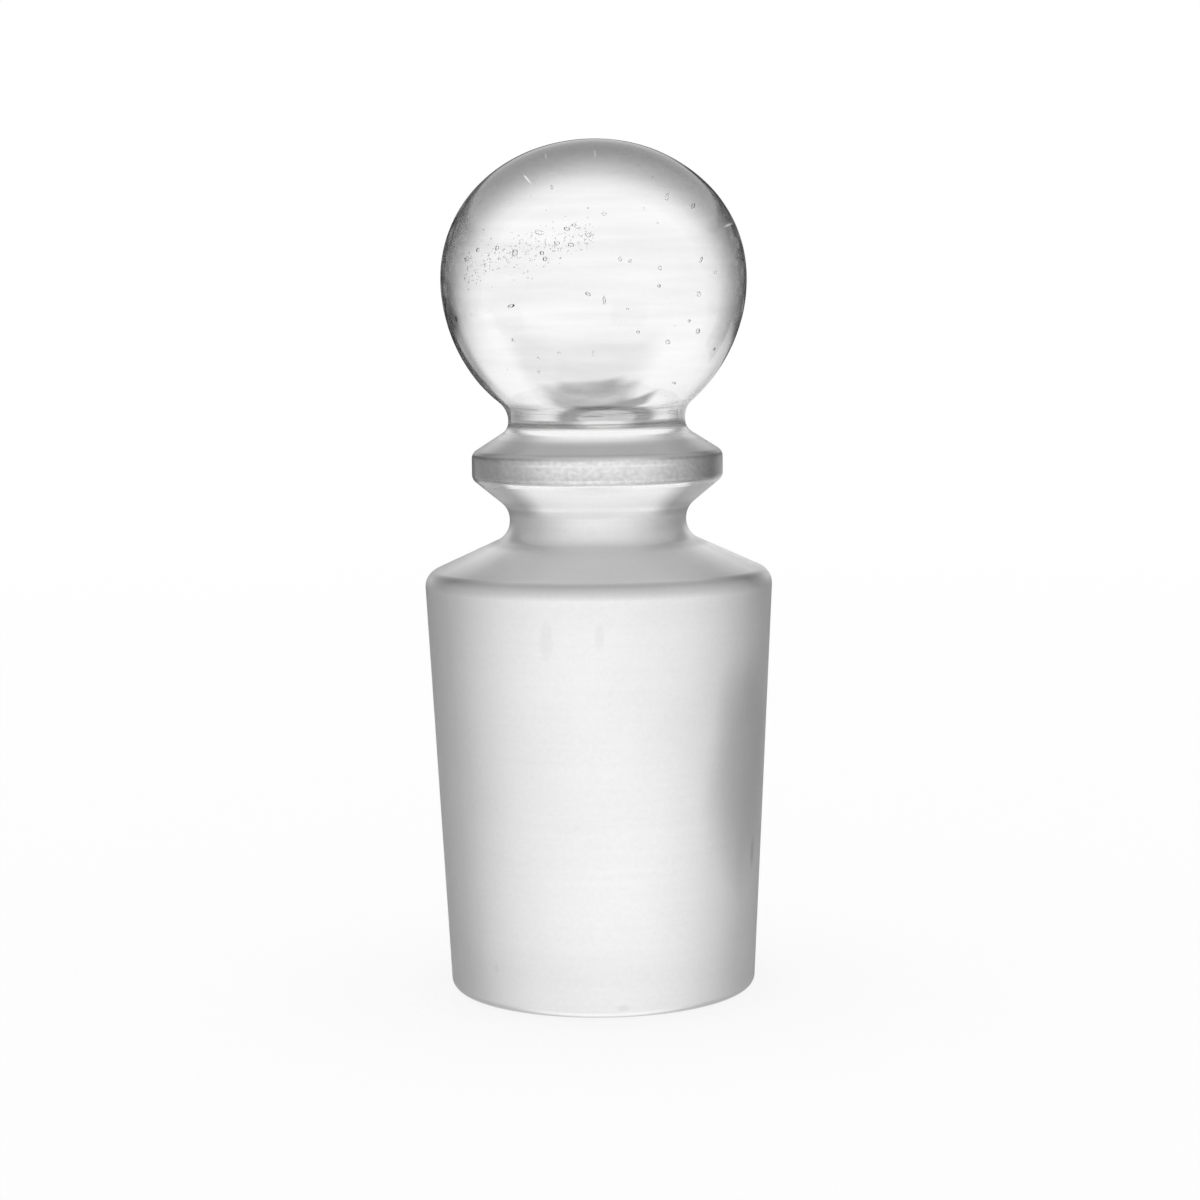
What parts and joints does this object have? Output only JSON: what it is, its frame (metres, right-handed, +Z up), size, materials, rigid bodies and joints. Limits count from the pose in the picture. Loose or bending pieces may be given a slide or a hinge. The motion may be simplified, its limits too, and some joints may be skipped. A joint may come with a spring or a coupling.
{
  "type": "glass stopper",
  "caption": "Solid clear glass stopper with a frosted ground cone, a waisted neck with a collar, and a polished ball grip.",
  "frame": {"origin": "centre of the flat base of the cone, on the turning axis", "axes": "+Z up the turning axis, from the narrow end of the cone to the top of the ball; X and Y are alike, because the part is round"},
  "size_m": [0.029, 0.029, 0.0713],
  "materials": {
    "glass": "fire-polished ball with small seeds, fine-ground frosted neck, shoulder and cone"
  },
  "bodies": {
    "root": {"stopper": "glass"}
  },
  "joints": []
}
